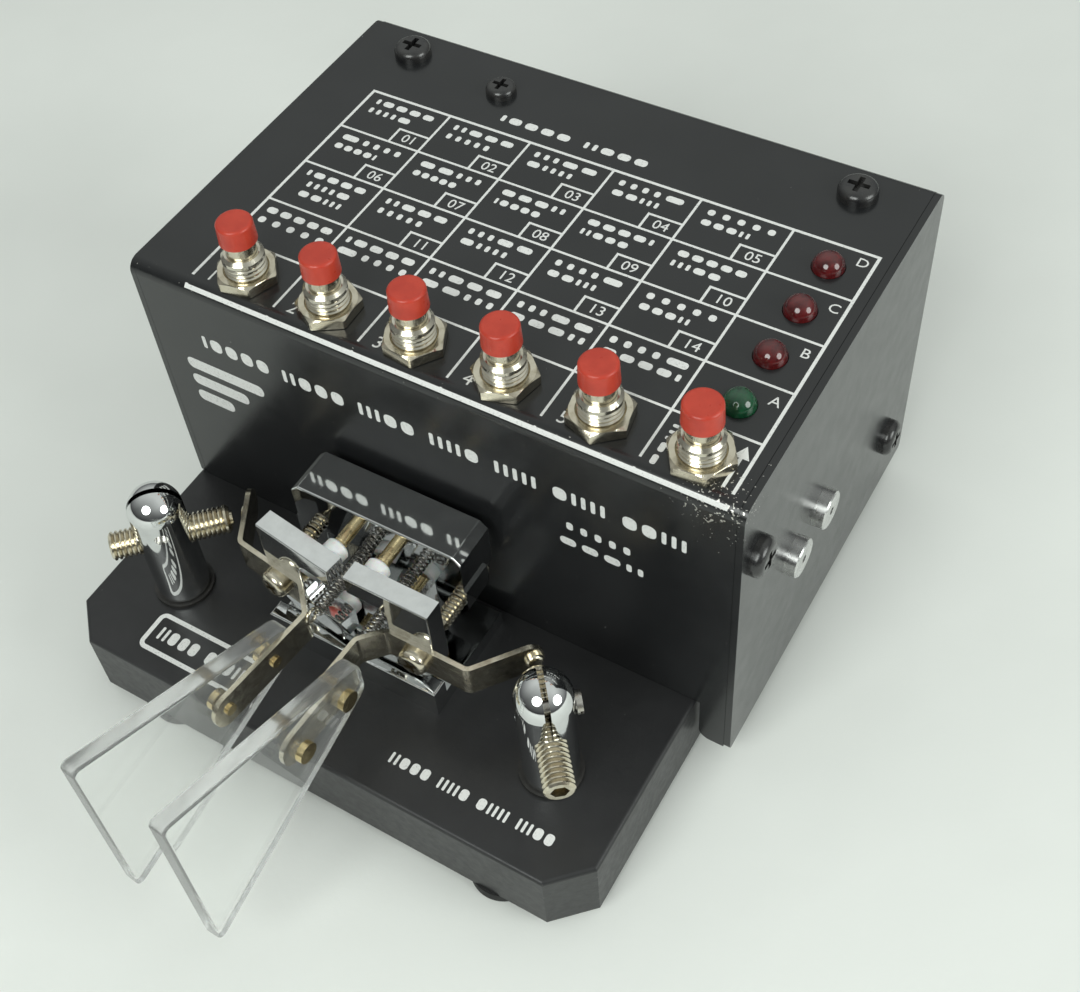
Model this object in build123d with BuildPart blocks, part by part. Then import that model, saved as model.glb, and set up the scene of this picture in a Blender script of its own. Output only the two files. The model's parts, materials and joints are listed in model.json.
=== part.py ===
from build123d import *
import os
from math import cos, radians, sin, sqrt

# Dual-lever morse key: a paddle on a heavy base, with a memory-keyer box over the back of the base.
# Millimetres, +Z up, operator at -Y. Origin: on the table, under the middle of the whole object.

os.makedirs("parts", exist_ok=True)

# ---------------------------------------------------------------- driving dimensions
CASE_WIDTH = 104.8
CASE_DEPTH = 70.5
CASE_TOP = 68.0
CASE_LOW = 6.0  # lower edge of the right wall and of the rear wall
FRONT_Y = -4.0  # outer face of the box front
SHEET = 1.1
BEND = 2.2
FIT_GAP = 0.05  # between neighbouring sheets

BASE_X = -3.3  # the base and the paddle are centred left of the box
BASE_WIDTH = 99.0
BASE_DEPTH = 95.0
BASE_OVERHANG = 37.5  # how far the base stands out in front of the box
BASE_TOP = 16.0
BASE_THICK = 13.5
BASE_CORNER = 5.9

BUTTON_COUNT = 6
BUTTON_PITCH = 15.26
BUTTON_X = 4.9  # middle of the row
BUTTON_BACK = 6.1  # behind the box front
BUTTON_TRAVEL = 1.8

PADDLE_X = -3.8  # the paddle's centre plane
PIVOT_U = 3.9  # each lever's hinge line, out from that plane
PIVOT_BACK = -15.9  # and in front of the box
REST = {-1: -8.1, 1: -0.5}  # degrees, left and right lever: the left one rests opened outwards
HANDLE_REST = {-1: -6.5, 1: -2.7}  # the handles are bent a little out of square to the levers
NEEDLE_HIGH = 39.6
NEEDLE_LOW = 25.4

POST_U = {-1: 36.3, 1: 35.6}
POST_BACK = -20.8
POST_RADIUS = 4.5
POST_DOME_Z = 37.0
CONTACT_Z = 30.2
CONTACT_RADIUS = 2.4
CONTACT_PITCH = 0.8
CONTACT_TURN = {-1: 45.0, 1: 50.0}  # degrees from the base's width to the contact screw
CONTACT_REACH = {-1: 11.2, 1: 8.95}  # from the post's axis to the screw's rear tip
CONTACT_HEAD = {-1: 8.8, 1: 11.3}  # and to its front end

# ---------------------------------------------------------------- derived places
REAR_Y = FRONT_Y + CASE_DEPTH
WALL_X = CASE_WIDTH / 2
COVER_X = WALL_X - SHEET - FIT_GAP
SHEET_UNDER = CASE_TOP - SHEET
BASE_LOW = BASE_TOP - BASE_THICK
BASE_FRONT = FRONT_Y - BASE_OVERHANG
BASE_REAR = BASE_FRONT + BASE_DEPTH
PIVOT_Y = FRONT_Y + PIVOT_BACK
POST_Y = FRONT_Y + POST_BACK
BUTTON_Y = FRONT_Y + BUTTON_BACK
BUTTON_XS = [BUTTON_X + BUTTON_PITCH * (i - (BUTTON_COUNT - 1) / 2) for i in range(BUTTON_COUNT)]
SIDES = ((-1, "left"), (1, "right"))

LED_X = 43.4
RED_LED_YS = [FRONT_Y + back for back in (26.9, 36.9, 46.9)]
GREEN_LED_Y = FRONT_Y + 16.85
LED_RADIUS = 2.5

TOP_SCREWS = [(-41.0, FRONT_Y + 63.5), (41.0, FRONT_Y + 63.5)]
SPACER_XY = (-21.6, FRONT_Y + 61.0)
SIDE_SCREWS = [(FRONT_Y + 5.0, 53.4), (FRONT_Y + 60.0, 20.0)]
SIDE_BOSSES = [(FRONT_Y + 19.2, 35.8), (FRONT_Y + 29.4, 35.8)]

FRAME_TOP = 43.0
FRAME_FRONT = FRONT_Y - 9.9
FRAME_BACK = FRONT_Y - 1.9
FRAME_HALF = 15.6
BAR_LOW = 34.0
WEB_HALF = 8.5
WEB_FRONT = FRONT_Y - 8.0
FOOT_TOP = BASE_TOP + 3.0
FOOT_HALF = 15.9
FOOT_FRONT = FRONT_Y - 21.4
RAIL_DEPTH = 3.0
RAIL_TOP = BASE_TOP + 6.0
STOP_U = 13.9
STOP_Z = 31.4
STOP_RADIUS = 1.4

PLATE_FRONT = -3.9  # lever places, measured from the hinge line along the lever's own axes
PLATE_BACK = -0.5
PLATE_INNER = -2.8
PLATE_OUTER = 12.3
PLATE_LOW = 23.0
PLATE_TOP = 41.6
NOTCH_LOW = 27.8
NOTCH_TOP = 37.7
NOTCH_END = 4.2
STRIP = 0.8
STRIP_HEIGHT = 6.2
HANDLE_U = {-1: -0.1, 1: 1.25}
HANDLE_ROOT = -7.9
HANDLE_END = -28.6
ARM_BEND = {-1: 17.7, 1: 18.6}
ARM_RUN = (7.3, 9.5)  # from the arm's bend to its end
ARM_SCREW_U = 9.4
ARM_SCREW_Z = 30.0
FINGER_THICK = 3.0
FINGER_SCREW_VS = (-15.7, -25.6)

BASE_SCREW_RADIUS = 1.95
FRAME_SCREWS = [(PADDLE_X - 5.0, FRONT_Y - 5.0), (PADDLE_X + 5.0, FRONT_Y - 5.0)]
SHELF_SCREWS = [(BASE_X - 20.0, 36.0), (BASE_X + 20.0, 36.0)]
BASE_SCREWS = FRAME_SCREWS + SHELF_SCREWS
BASE_SCREW_TIP = 22.5
COUNTERBORE_RADIUS = 4.5
COUNTERBORE_TOP = BASE_LOW + 4.0
FEET = [(BASE_X + 33.0 * s, y) for s in (-1, 1) for y in (BASE_FRONT + 5.0, BASE_REAR - 9.0)]
FOOT_PAD = 5.5

BOARD_Z = 50.0
BOARD_THICK = 1.6
BOARD_TOP = BOARD_Z + BOARD_THICK


# ---------------------------------------------------------------- planes of the two levers
def plan_plane(side, z):
    """Horizontal plane of one lever at height z: X outwards to the right, Y to the back."""
    a = radians(REST[side])
    return Plane(origin=(PADDLE_X + side * PIVOT_U, PIVOT_Y, z), x_dir=(cos(a), sin(a), 0), z_dir=(0, 0, 1))


def face_plane(side, v):
    """Upright plane across one lever, v behind its hinge line, facing the operator."""
    a = radians(REST[side])
    origin = (PADDLE_X + side * PIVOT_U - v * sin(a), PIVOT_Y + v * cos(a), 0)
    return Plane(origin=origin, x_dir=(cos(a), sin(a), 0), z_dir=(sin(a), -cos(a), 0))


def side_plane(side, u):
    """Upright plane along one handle, u outwards from the hinge line; X to the back, Y up."""
    a = radians(HANDLE_REST[side])
    origin = (PADDLE_X + side * (PIVOT_U + u * cos(a)), PIVOT_Y + side * u * sin(a), 0)
    return Plane(origin=origin, x_dir=(-sin(a), cos(a), 0), z_dir=(cos(a), sin(a), 0))


def screw_aim(side, turn=0):
    """Level direction of one contact screw, from its post to the lever, or turned from that."""
    a = radians(CONTACT_TURN[side])
    return Vector(-side * cos(a), sin(a), 0).rotate(Axis.Z, turn)


def post_plane(side, z):
    """Horizontal plane on one post's axis, X along its contact screw towards the lever."""
    return Plane(origin=(BASE_X + side * POST_U[side], POST_Y, z), x_dir=screw_aim(side), z_dir=(0, 0, 1))


def write(part, name):
    """Names one finished piece and saves it."""
    part.label = name
    export_step(part, f"parts/{name}.step")


def thread_outline(start, end, radius, pitch, depth):
    """Points of a screw thread's half section, from start to end along X."""
    turns = int((end - start) / pitch)
    points = []
    for turn in range(turns):
        x = start + turn * pitch
        points += [(x, radius), (x + 0.25 * pitch, radius), (x + 0.625 * pitch, radius - depth)]
    points += [(start + turns * pitch, radius), (end, radius)]
    return points


# ---------------------------------------------------------------- base
with BuildPart() as base_plate:
    with BuildSketch(Plane.XY.offset(BASE_LOW)) as outline:
        with Locations((BASE_X, (BASE_FRONT + BASE_REAR) / 2)):
            Rectangle(BASE_WIDTH, BASE_DEPTH)
        chamfer(outline.vertices().group_by(Axis.Y)[0], BASE_CORNER)
    extrude(amount=BASE_THICK)
    fillet(base_plate.faces().sort_by(Axis.Z)[-1].edges(), 0.7)
    with Locations(*[(x, y, BASE_TOP) for x, y in BASE_SCREWS]):
        Hole(BASE_SCREW_RADIUS + 0.15)
    with Locations(*[(BASE_X + side * POST_U[side], POST_Y, BASE_TOP) for side, _ in SIDES]):
        Hole(3.05)
    with BuildSketch(Plane.XY.offset(BASE_LOW)):
        with Locations(*BASE_SCREWS):
            Circle(COUNTERBORE_RADIUS)
        with Locations(*[(BASE_X + side * POST_U[side], POST_Y) for side, _ in SIDES]):
            Circle(COUNTERBORE_RADIUS + 1.2)
    extrude(amount=COUNTERBORE_TOP - BASE_LOW, mode=Mode.SUBTRACT)
write(base_plate.part, "base_plate")

with BuildPart() as base_feet:
    with BuildSketch():
        with Locations(*FEET):
            Circle(FOOT_PAD)
    extrude(amount=BASE_LOW)
    chamfer(base_feet.faces().group_by(Axis.Z)[0].edges(), 0.6)
write(base_feet.part, "base_feet")

with BuildPart() as base_screws:
    with BuildSketch(Plane.XY.offset(COUNTERBORE_TOP - 2.6)):
        with Locations(*BASE_SCREWS):
            Circle(3.6)
    extrude(amount=2.6)
    with BuildSketch(Plane.XY.offset(COUNTERBORE_TOP - 2.6)):
        with Locations(*BASE_SCREWS):
            RegularPolygon(1.6, 6, major_radius=False)
    extrude(amount=1.6, mode=Mode.SUBTRACT)
    with BuildSketch(Plane.XY.offset(COUNTERBORE_TOP)):
        with Locations(*BASE_SCREWS):
            Circle(BASE_SCREW_RADIUS)
    extrude(amount=BASE_SCREW_TIP - COUNTERBORE_TOP)
write(base_screws.part, "base_screws")

# ---------------------------------------------------------------- box: chassis and cover
TAB_Z = SHEET_UNDER - FIT_GAP
TAB_HALF = 7.0
with BuildPart() as case_chassis:
    for side, wall_low in ((-1, BASE_TOP), (1, CASE_LOW)):
        wall_plane = Plane.YZ.offset(side * WALL_X)
        with BuildSketch(wall_plane) as wall:
            with BuildLine():
                Polyline(
                    (FRONT_Y, wall_low),
                    (REAR_Y, wall_low),
                    (REAR_Y, CASE_TOP - 0.1),
                    (FRONT_Y, CASE_TOP - 0.1),
                    close=True,
                )
            make_face()
            fillet(wall.vertices().group_by(Axis.Y)[-1], BEND)
            fillet(wall.vertices().group_by(Axis.Y)[0], 0.8)
            with Locations(*SIDE_SCREWS):
                Circle(1.7, mode=Mode.SUBTRACT)
            if side == 1:
                with Locations(*SIDE_BOSSES):
                    Circle(2.5, mode=Mode.SUBTRACT)
        extrude(amount=-side * SHEET)
        if side == -1:
            # the left wall rests on the base and comes down behind it
            with BuildSketch(wall_plane):
                with Locations(((BASE_REAR + 1.0 + REAR_Y) / 2, (CASE_LOW + BASE_TOP + 1.0) / 2)):
                    Rectangle(REAR_Y - BASE_REAR - 1.0, BASE_TOP + 1.0 - CASE_LOW)
            extrude(amount=-side * SHEET)
        # inward tab under the top sheet, for the corner screw
        with BuildSketch(Plane.XY.offset(TAB_Z)):
            with Locations((side * (WALL_X - SHEET - TAB_HALF), TOP_SCREWS[0][1])):
                Rectangle(2 * TAB_HALF, 8.0)
        extrude(amount=-SHEET)
    with BuildSketch(Plane.XY.offset(BASE_TOP)):
        with Locations((0, (FRONT_Y + REAR_Y) / 2)):
            Rectangle(CASE_WIDTH - 2 * SHEET, CASE_DEPTH - 2 * SHEET - 2 * FIT_GAP)
    extrude(amount=SHEET)
    # clinch nuts in the shelf for the two rear base screws
    with BuildSketch(Plane.XY.offset(BASE_TOP + SHEET)):
        with Locations(*SHELF_SCREWS):
            Circle(3.5)
    extrude(amount=2.6)
    with Locations(*[(x, y, BASE_TOP + SHEET + 2.6) for x, y in SHELF_SCREWS]):
        Hole(BASE_SCREW_RADIUS + 0.05, depth=2.6 + SHEET)
    with Locations(*[(x, y, TAB_Z) for x, y in TOP_SCREWS]):
        Hole(1.45, depth=SHEET)
write(case_chassis.part, "case_chassis")

OUTPUT_JACK = (22.0, 33.0)
POWER_JACK = (-22.0, 33.0)
NOTCH_X = 46.9  # right of this the front sheet runs down beside the base
SIDE_TAB_DEPTH = 7.6
SIDE_TAB_HEIGHT = 9.0
with BuildPart() as case_cover:
    with BuildSketch(Plane.YZ.offset(-COVER_X)) as section:
        with BuildLine():
            Polyline(
                (FRONT_Y, BASE_TOP + 0.1),
                (FRONT_Y, CASE_TOP),
                (REAR_Y, CASE_TOP),
                (REAR_Y, CASE_LOW),
                (REAR_Y - SHEET, CASE_LOW),
                (REAR_Y - SHEET, SHEET_UNDER),
                (FRONT_Y + SHEET, SHEET_UNDER),
                (FRONT_Y + SHEET, BASE_TOP + 0.1),
                close=True,
            )
        make_face()
        fillet(section.vertices().group_by(Axis.Y)[-1], BEND)
        fillet(section.vertices().filter_by_position(Axis.Y, SHEET_UNDER - 0.01, SHEET_UNDER + 0.01), BEND - SHEET)
    extrude(amount=2 * COVER_X)
    # strip of the front sheet beside the base, with its inner lower corner rounded
    with BuildSketch(Plane.XZ.offset(-FRONT_Y)) as strip:
        with Locations(((NOTCH_X + COVER_X) / 2, (CASE_LOW + BASE_TOP + 2.0) / 2)):
            Rectangle(COVER_X - NOTCH_X, BASE_TOP + 2.0 - CASE_LOW)
        fillet(strip.vertices().group_by(Axis.Y)[0].sort_by(Axis.X)[0], 2.0)
    extrude(amount=-SHEET)
    # tabs behind the side walls, for the side screws
    for side, _ in SIDES:
        with BuildSketch(Plane.YZ.offset(side * COVER_X)):
            with Locations((FRONT_Y + SHEET + SIDE_TAB_DEPTH / 2 - 0.1, SIDE_SCREWS[0][1])):
                Rectangle(SIDE_TAB_DEPTH, SIDE_TAB_HEIGHT)
            with Locations((REAR_Y - SHEET - (SIDE_TAB_DEPTH + 5) / 2 + 0.1, SIDE_SCREWS[1][1] + 2.3)):
                Rectangle(SIDE_TAB_DEPTH + 5, SIDE_TAB_HEIGHT)
            with Locations(*SIDE_SCREWS):
                Circle(1.45, mode=Mode.SUBTRACT)
        extrude(amount=-side * SHEET)
    with Locations(*[(x, BUTTON_Y, CASE_TOP) for x in BUTTON_XS]):
        Hole(3.35, depth=SHEET + 1)
    with Locations(*[(LED_X, y, CASE_TOP) for y in [GREEN_LED_Y] + RED_LED_YS]):
        Hole(LED_RADIUS + 0.1, depth=SHEET + 1)
    with Locations(*[(x, y, CASE_TOP) for x, y in TOP_SCREWS]):
        Hole(1.7, depth=SHEET + 0.02)
    with Locations((*SPACER_XY, CASE_TOP)):
        Hole(1.5, depth=SHEET + 0.02)
    with BuildSketch(Plane.XZ.offset(-REAR_Y)):
        with Locations(OUTPUT_JACK):
            Circle(4.9)
        with Locations(POWER_JACK):
            Circle(4.1)
    extrude(amount=SHEET + 1, mode=Mode.SUBTRACT)
write(case_cover.part, "case_cover")

# ---------------------------------------------------------------- black pan-head screws
PAN_RADIUS = 3.2
PAN_HEIGHT = 2.0
SHANK_RADIUS = 1.4
SHANK_LENGTH = 4.6


def pan_screw(plane, head_radius, head_height, shank_radius, shank_length):
    """One cross-recess pan-head screw; the plane lies under its head and faces out of the wall."""
    with BuildPart() as screw:
        with BuildSketch(plane):
            Circle(head_radius)
        head = extrude(amount=head_height)
        outer_axis = Axis(plane.origin, plane.z_dir)
        fillet(head.edges().filter_by(GeomType.CIRCLE).sort_by(outer_axis)[-1], 0.6 * head_height)
        with BuildSketch(plane.offset(head_height)):
            Rectangle(1.1 * head_radius, 0.28 * head_radius)
            Rectangle(0.28 * head_radius, 1.1 * head_radius)
        extrude(amount=-0.6 * head_height, mode=Mode.SUBTRACT)
        with BuildSketch(plane):
            Circle(shank_radius)
        extrude(amount=-shank_length)
    return screw.part


COVER_SCREW_PLANES = [Plane(origin=(x, y, CASE_TOP), z_dir=(0, 0, 1)) for x, y in TOP_SCREWS]
for side, _ in SIDES:
    COVER_SCREW_PLANES += [Plane(origin=(side * WALL_X, y, z), z_dir=(side, 0, 0)) for y, z in SIDE_SCREWS]
single_screws = [
    pan_screw(plane, PAN_RADIUS, PAN_HEIGHT, SHANK_RADIUS, SHANK_LENGTH) for plane in COVER_SCREW_PLANES
]
with BuildPart() as cover_screws:
    for screw in single_screws:
        add(screw)
write(cover_screws.part, "cover_screws")

spacer_screw = pan_screw(Plane(origin=(*SPACER_XY, CASE_TOP), z_dir=(0, 0, 1)), 2.6, 1.7, 1.2, 6.0)
write(spacer_screw, "spacer_screw")

BOSS_RADIUS = 3.25
with BuildPart() as side_bosses:
    with BuildSketch(Plane.YZ.offset(WALL_X)):
        with Locations(*SIDE_BOSSES):
            Circle(BOSS_RADIUS)
    extrude(amount=2.0)
    chamfer(side_bosses.faces().group_by(Axis.X)[-1].edges(), 0.2)
    with BuildSketch(Plane.YZ.offset(WALL_X)):
        with Locations(*SIDE_BOSSES):
            Circle(2.5)
    extrude(amount=-4.0)
    with BuildSketch(Plane.YZ.offset(WALL_X + 2.0)):
        with Locations(*SIDE_BOSSES):
            Circle(0.65)
    extrude(amount=-6.0, mode=Mode.SUBTRACT)
write(side_bosses.part, "side_bosses")

# ---------------------------------------------------------------- push buttons
BUSH_RADIUS = 3.3
BUSH_TOP = CASE_TOP + 5.3
NUT_TOP = CASE_TOP + 2.0
PLUNGER_RADIUS = 2.35
CAP_LOW = CASE_TOP + 7.7
CAP_TOP = CASE_TOP + 11.3
SWITCH_LOW = 55.5
SWITCH_RADIUS = 4.0
BORE_LOW = 60.0

with BuildPart() as switch_bodies:
    for x in BUTTON_XS:
        axis_plane = Plane(origin=(x, BUTTON_Y, 0), x_dir=(0, 0, 1), z_dir=(0, -1, 0))
        thread = thread_outline(NUT_TOP - 0.2, BUSH_TOP - 0.5, BUSH_RADIUS, 0.8, 0.4)
        with BuildSketch(axis_plane):
            with BuildLine():
                Polyline(
                    (SWITCH_LOW, 0),
                    (SWITCH_LOW, SWITCH_RADIUS),
                    (SHEET_UNDER - 0.05, SWITCH_RADIUS),
                    (SHEET_UNDER - 0.05, BUSH_RADIUS),
                    *thread,
                    (BUSH_TOP, BUSH_RADIUS - 0.5),
                    (BUSH_TOP, PLUNGER_RADIUS + 0.05),
                    (BORE_LOW, PLUNGER_RADIUS + 0.05),
                    (BORE_LOW, 0),
                    close=True,
                )
            make_face()
        revolve(axis=Axis((x, BUTTON_Y, 0), (0, 0, 1)))
    with BuildSketch(Plane.XY.offset(BOARD_TOP)):
        with Locations(*[(x + dx, BUTTON_Y) for x in BUTTON_XS for dx in (-2.5, 2.5)]):
            Circle(0.5)
    extrude(amount=SWITCH_LOW - BOARD_TOP)
write(switch_bodies.part, "switch_bodies")

with BuildPart() as switch_nuts:
    for i, x in enumerate(BUTTON_XS):
        with BuildSketch(Plane.XY.offset(CASE_TOP)):
            with Locations((x, BUTTON_Y)):
                RegularPolygon(4.45, 6, major_radius=False, rotation=9 + 23 * i)
                Circle(BUSH_RADIUS + 0.02, mode=Mode.SUBTRACT)
        extrude(amount=NUT_TOP - CASE_TOP)
write(switch_nuts.part, "switch_nuts")

for number, x in enumerate(BUTTON_XS, start=1):
    with BuildPart() as push_plunger:
        with BuildSketch(Plane.XY.offset(BORE_LOW + BUTTON_TRAVEL + 0.2)):
            with Locations((x, BUTTON_Y)):
                Circle(PLUNGER_RADIUS)
        extrude(amount=CAP_LOW - BORE_LOW - BUTTON_TRAVEL - 0.2)
        with BuildSketch(Plane.XY.offset(CAP_LOW)):
            with Locations((x, BUTTON_Y)):
                Circle(1.5)
        extrude(amount=2.0)
    write(push_plunger.part, f"push_plunger_{number}")

    with BuildPart() as push_cap:
        with BuildSketch(Plane.XY.offset(CAP_LOW)):
            with Locations((x, BUTTON_Y)):
                Circle(2.95)
        extrude(amount=CAP_TOP - CAP_LOW, taper=2)
        fillet(push_cap.faces().sort_by(Axis.Z)[-1].edges(), 0.5)
        with BuildSketch(Plane.XY.offset(CAP_LOW)):
            with Locations((x, BUTTON_Y)):
                Circle(1.5)
        extrude(amount=2.0, mode=Mode.SUBTRACT)
    write(push_cap.part, f"push_cap_{number}")

# ---------------------------------------------------------------- lamps


def led(x, y):
    """One round lamp: domed body, flange under the sheet and two legs down to the board."""
    with BuildPart() as lamp:
        with BuildSketch(Plane(origin=(x, y, 0), x_dir=(0, 0, 1), z_dir=(0, -1, 0))):
            with BuildLine():
                Polyline(
                    (CASE_TOP, LED_RADIUS),
                    (SHEET_UNDER - 0.1, LED_RADIUS),
                    (SHEET_UNDER - 0.1, LED_RADIUS + 0.4),
                    (SHEET_UNDER - 1.1, LED_RADIUS + 0.4),
                    (SHEET_UNDER - 1.1, 0),
                    (CASE_TOP + LED_RADIUS, 0),
                )
                RadiusArc((CASE_TOP + LED_RADIUS, 0), (CASE_TOP, LED_RADIUS), -LED_RADIUS)
            make_face()
        revolve(axis=Axis((x, y, 0), (0, 0, 1)))
        with BuildSketch(Plane.XY.offset(BOARD_TOP)):
            with Locations((x - 1.27, y), (x + 1.27, y)):
                Rectangle(0.5, 0.5)
        extrude(amount=SHEET_UNDER - 1.1 - BOARD_TOP)
    return lamp.part


red_lamps = [led(LED_X, y) for y in RED_LED_YS]
with BuildPart() as red_leds:
    for lamp in red_lamps:
        add(lamp)
write(red_leds.part, "red_leds")

green_led = led(LED_X, GREEN_LED_Y)
write(green_led, "green_led")

# ---------------------------------------------------------------- inside the box
with BuildPart() as circuit_board:
    with BuildSketch(Plane.XY.offset(BOARD_Z)):
        with Locations((1.0, FRONT_Y + 33.5)):
            Rectangle(95.0, 62.0)
        with Locations(SPACER_XY):
            Circle(1.5, mode=Mode.SUBTRACT)
    extrude(amount=BOARD_THICK)
write(circuit_board.part, "circuit_board")

with BuildPart() as board_spacer:
    with BuildSketch(Plane.XY.offset(BOARD_TOP)):
        with Locations(SPACER_XY):
            RegularPolygon(2.75, 6, major_radius=False)
            Circle(1.25, mode=Mode.SUBTRACT)
    extrude(amount=SHEET_UNDER - BOARD_TOP)
write(board_spacer.part, "board_spacer")

with BuildPart() as keyer_chip:
    with BuildSketch(Plane.XY.offset(BOARD_TOP + 0.5)):
        with Locations((-5.0, FRONT_Y + 38.0)):
            Rectangle(35.6, 13.2)
    extrude(amount=3.6)
    with BuildSketch(Plane.XY.offset(BOARD_TOP)):
        with Locations((-5.0, FRONT_Y + 38.0)):
            with GridLocations(2.54, 15.2, 14, 2):
                Rectangle(0.6, 0.5)
    extrude(amount=3.0)
    with BuildSketch(Plane.XY.offset(BOARD_TOP + 2.6)):
        with Locations((-5.0, FRONT_Y + 38.0)):
            with GridLocations(2.54, 14.2, 14, 2):
                Rectangle(0.6, 2.5)
    extrude(amount=0.4)
write(keyer_chip.part, "keyer_chip")

with BuildPart() as sounder:
    with BuildSketch(Plane.XY.offset(BASE_TOP + SHEET)):
        with Locations((28.0, FRONT_Y + 20.0)):
            Circle(12.0)
    extrude(amount=9.0)
    with Locations((28.0, FRONT_Y + 20.0, BASE_TOP + SHEET + 9.0)):
        Hole(1.5, depth=3.0)
write(sounder.part, "sounder")

with BuildPart() as battery:
    with BuildSketch(Plane.XY.offset(BASE_TOP + SHEET)):
        with Locations((-22.0, FRONT_Y + 20.0)):
            RectangleRounded(46.4, 26.5, 1.5)
    extrude(amount=17.5)
    with BuildSketch(Plane.YZ.offset(-22.0 + 23.2)):
        with Locations((FRONT_Y + 13.7, BASE_TOP + SHEET + 8.75), (FRONT_Y + 26.3, BASE_TOP + SHEET + 8.75)):
            Circle(3.0)
    extrude(amount=2.1)
write(battery.part, "battery")

JACK_BORE = 3.25
with BuildPart() as output_jack:
    with BuildSketch(Plane.XZ.offset(-(REAR_Y - SHEET))):
        with Locations(OUTPUT_JACK):
            Rectangle(16.0, 15.0)
    extrude(amount=20.0)
    with BuildSketch(Plane.XZ.offset(-(REAR_Y - SHEET))):
        with Locations(OUTPUT_JACK):
            Circle(4.8)
    extrude(amount=-(SHEET + 3.4))
    with BuildSketch(Plane.XZ.offset(-(REAR_Y + 3.4))):
        with Locations(OUTPUT_JACK):
            Circle(JACK_BORE)
    extrude(amount=19.0, mode=Mode.SUBTRACT)
write(output_jack.part, "output_jack")

with BuildPart() as jack_nut:
    with BuildSketch(Plane.XZ.offset(-REAR_Y)):
        with Locations(OUTPUT_JACK):
            RegularPolygon(6.35, 6, major_radius=False)
            Circle(4.82, mode=Mode.SUBTRACT)
    extrude(amount=-2.2)
write(jack_nut.part, "jack_nut")

with BuildPart() as power_jack:
    with BuildSketch(Plane.XZ.offset(-(REAR_Y - SHEET))):
        with Locations(POWER_JACK):
            Rectangle(12.0, 11.0)
    extrude(amount=12.0)
    with BuildSketch(Plane.XZ.offset(-(REAR_Y - SHEET))):
        with Locations(POWER_JACK):
            Circle(4.0)
    extrude(amount=-(SHEET + 1.2))
    with BuildSketch(Plane.XZ.offset(-(REAR_Y + 1.2))):
        with Locations(POWER_JACK):
            Circle(2.85)
            Circle(1.0, mode=Mode.SUBTRACT)
    extrude(amount=9.5, mode=Mode.SUBTRACT)
write(power_jack.part, "power_jack")

# ---------------------------------------------------------------- paddle frame
with BuildPart() as foot_plate:
    with BuildSketch(Plane.YZ.offset(PADDLE_X - FOOT_HALF)):
        with BuildLine():
            Polyline(
                (FOOT_FRONT, BASE_TOP),
                (FRAME_BACK, BASE_TOP),
                (FRAME_BACK, FOOT_TOP),
                (FOOT_FRONT + RAIL_DEPTH, FOOT_TOP),
                (FOOT_FRONT + RAIL_DEPTH, RAIL_TOP),
                (FOOT_FRONT, RAIL_TOP),
                close=True,
            )
        make_face()
    extrude(amount=2 * FOOT_HALF)
    fillet(foot_plate.edges().group_by(Axis.Z)[-1], 0.35)
    with Locations(*[(x, y, FOOT_TOP) for x, y in FRAME_SCREWS]):
        Hole(BASE_SCREW_RADIUS + 0.1)
write(foot_plate.part, "foot_plate")

NEEDLE_RADIUS = 1.1
NEEDLE_CONE = 2.4
LUG_INNER = 10.4
LUG_LOW = 28.6
with BuildPart() as bearing_frame:
    with BuildSketch(Plane.XZ.offset(-FRAME_BACK)) as bar:
        with Locations((PADDLE_X, (BAR_LOW + FRAME_TOP) / 2)):
            Rectangle(2 * FRAME_HALF, FRAME_TOP - BAR_LOW)
        chamfer(bar.vertices().group_by(Axis.Y)[-1], 1.3)
    extrude(amount=FRAME_BACK - FRAME_FRONT)
    fillet(bearing_frame.edges().filter_by(Axis.Y).group_by(Axis.Z)[-1], 0.3)
    fillet(bearing_frame.faces().sort_by(Axis.Y)[0].edges().group_by(Axis.Z)[-1], 0.3)
    with BuildSketch(Plane.XZ.offset(-FRAME_BACK)):
        with Locations((PADDLE_X, (FOOT_TOP + BAR_LOW) / 2)):
            Rectangle(2 * WEB_HALF, BAR_LOW - FOOT_TOP)
    extrude(amount=FRAME_BACK - WEB_FRONT)
    for side, _ in SIDES:
        with BuildSketch(Plane.XZ.offset(-(FRAME_BACK - 2.0))) as lug:
            with Locations((PADDLE_X + side * (LUG_INNER + FRAME_HALF + 0.4) / 2, (LUG_LOW + BAR_LOW + 1) / 2)):
                Rectangle(FRAME_HALF + 0.4 - LUG_INNER, BAR_LOW + 1 - LUG_LOW)
            fillet(lug.vertices().group_by(Axis.Y)[0], 2.4)
        extrude(amount=FRAME_BACK - 2.0 - FRAME_FRONT)
        with BuildSketch(Plane.XZ.offset(-FRAME_BACK)):
            with Locations((PADDLE_X + side * STOP_U, STOP_Z)):
                Circle(STOP_RADIUS + 0.05)
            with Locations((PADDLE_X + side * PIVOT_U, NEEDLE_HIGH), (PADDLE_X + side * PIVOT_U, NEEDLE_LOW)):
                Circle(NEEDLE_RADIUS)
        extrude(amount=FRAME_BACK - FRAME_FRONT, mode=Mode.SUBTRACT)
    with Locations(*[(x, y, FOOT_TOP + 5.0) for x, y in FRAME_SCREWS]):
        Hole(BASE_SCREW_RADIUS + 0.05, depth=5.0)
write(bearing_frame.part, "bearing_frame")

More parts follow.
